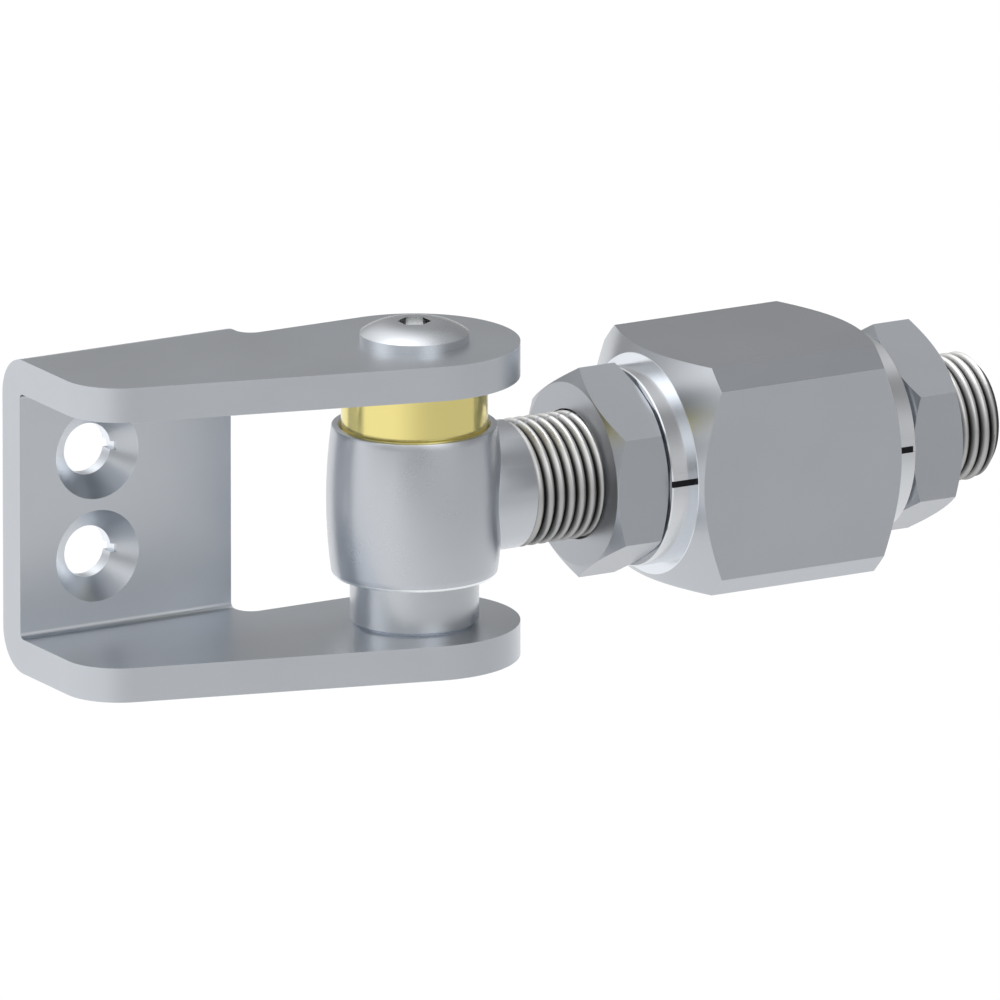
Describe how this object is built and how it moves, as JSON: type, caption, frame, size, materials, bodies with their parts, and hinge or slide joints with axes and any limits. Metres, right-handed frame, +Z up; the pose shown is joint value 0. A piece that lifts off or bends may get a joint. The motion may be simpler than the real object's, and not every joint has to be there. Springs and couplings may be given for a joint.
{
  "type": "adjustable gate hinge",
  "caption": "Heavy gate hinge: folded steel post bracket, eye bolt turning on a pin in a brass bush, and a gate block set by eccentric bushes and lock nuts.",
  "frame": {"origin": "midway between the two countersunk screw holes, on the plate face that meets the post", "axes": "+Y points out of the plate into the post, +X runs along the bolt towards its free end with the gate closed, +Z is up along the pivot pin"},
  "size_m": [0.1736, 0.0486, 0.0585],
  "materials": {
    "bracket_steel": "satin, even, with brighter sheared edges",
    "pin_steel": "turned satin, polished dome",
    "bush_brass": "turned, clean",
    "bolt_steel": "satin forging, bright rolled thread",
    "nut_steel": "satin",
    "eccentric_steel": "turned satin with a black index line",
    "block_steel": "satin, turned ends"
  },
  "bodies": {
    "bracket": {"u_bracket": "bracket_steel", "hinge_pin": "pin_steel", "spacer_ring": "pin_steel"},
    "eye_bolt": {"eye_bolt": "bolt_steel", "brass_bush": "bush_brass"},
    "lock_nuts": {"inner_nut": "nut_steel", "outer_nut": "nut_steel"},
    "eccentrics": {"inner_eccentric": "eccentric_steel", "outer_eccentric": "eccentric_steel"},
    "gate_block": {"gate_block": "block_steel"}
  },
  "joints": [
    {"name": "gate_swing", "type": "hinge", "parent": "bracket", "child": "eye_bolt", "pos_m": [0.049, -0.0286, 0], "axis": [0, 0, 1], "range_deg": [-90, 90]},
    {"name": "reach_adjust", "type": "slide", "parent": "eye_bolt", "child": "lock_nuts", "axis": [1, 0, 0], "range_m": [-0.01, 0.008]},
    {"name": "eccentric_turn", "type": "hinge", "parent": "lock_nuts", "child": "eccentrics", "pos_m": [0.1137, -0.0286, 0], "axis": [1, 0, 0], "continuous": true},
    {"name": "block_level", "type": "hinge", "parent": "eccentrics", "child": "gate_block", "pos_m": [0.1137, -0.0306, 0], "axis": [1, 0, 0], "continuous": true}
  ],
  "couplings": [
    {"joint": "block_level", "follows": "eccentric_turn", "ratio": -1}
  ]
}
